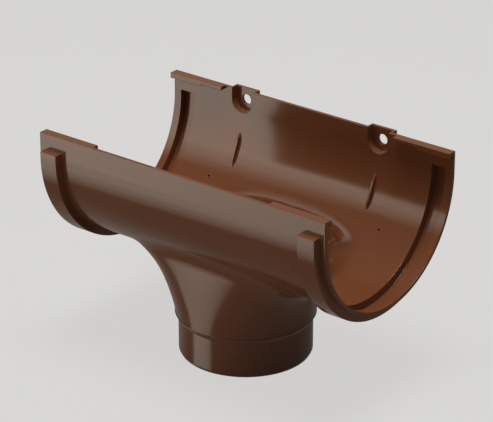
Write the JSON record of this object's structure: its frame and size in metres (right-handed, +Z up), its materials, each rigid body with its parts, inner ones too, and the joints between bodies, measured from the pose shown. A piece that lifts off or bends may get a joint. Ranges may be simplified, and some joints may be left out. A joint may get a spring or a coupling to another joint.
{
  "type": "gutter outlet",
  "caption": "Half-round gutter outlet in brown plastic: an open run with seal grooves, lips and screw ears, and a funnel that narrows to a round downpipe spigot.",
  "frame": {"origin": "centre of the spigot's lower edge, on which the outlet stands", "axes": "+Z up, X along the gutter, +Y towards the wall of the building (the side with the screw ears)"},
  "size_m": [0.2056, 0.1342, 0.1326],
  "materials": {
    "brown_pvc": "smooth moulded, semi-gloss"
  },
  "bodies": {
    "root": {"gutter_outlet": "brown_pvc"}
  },
  "joints": []
}
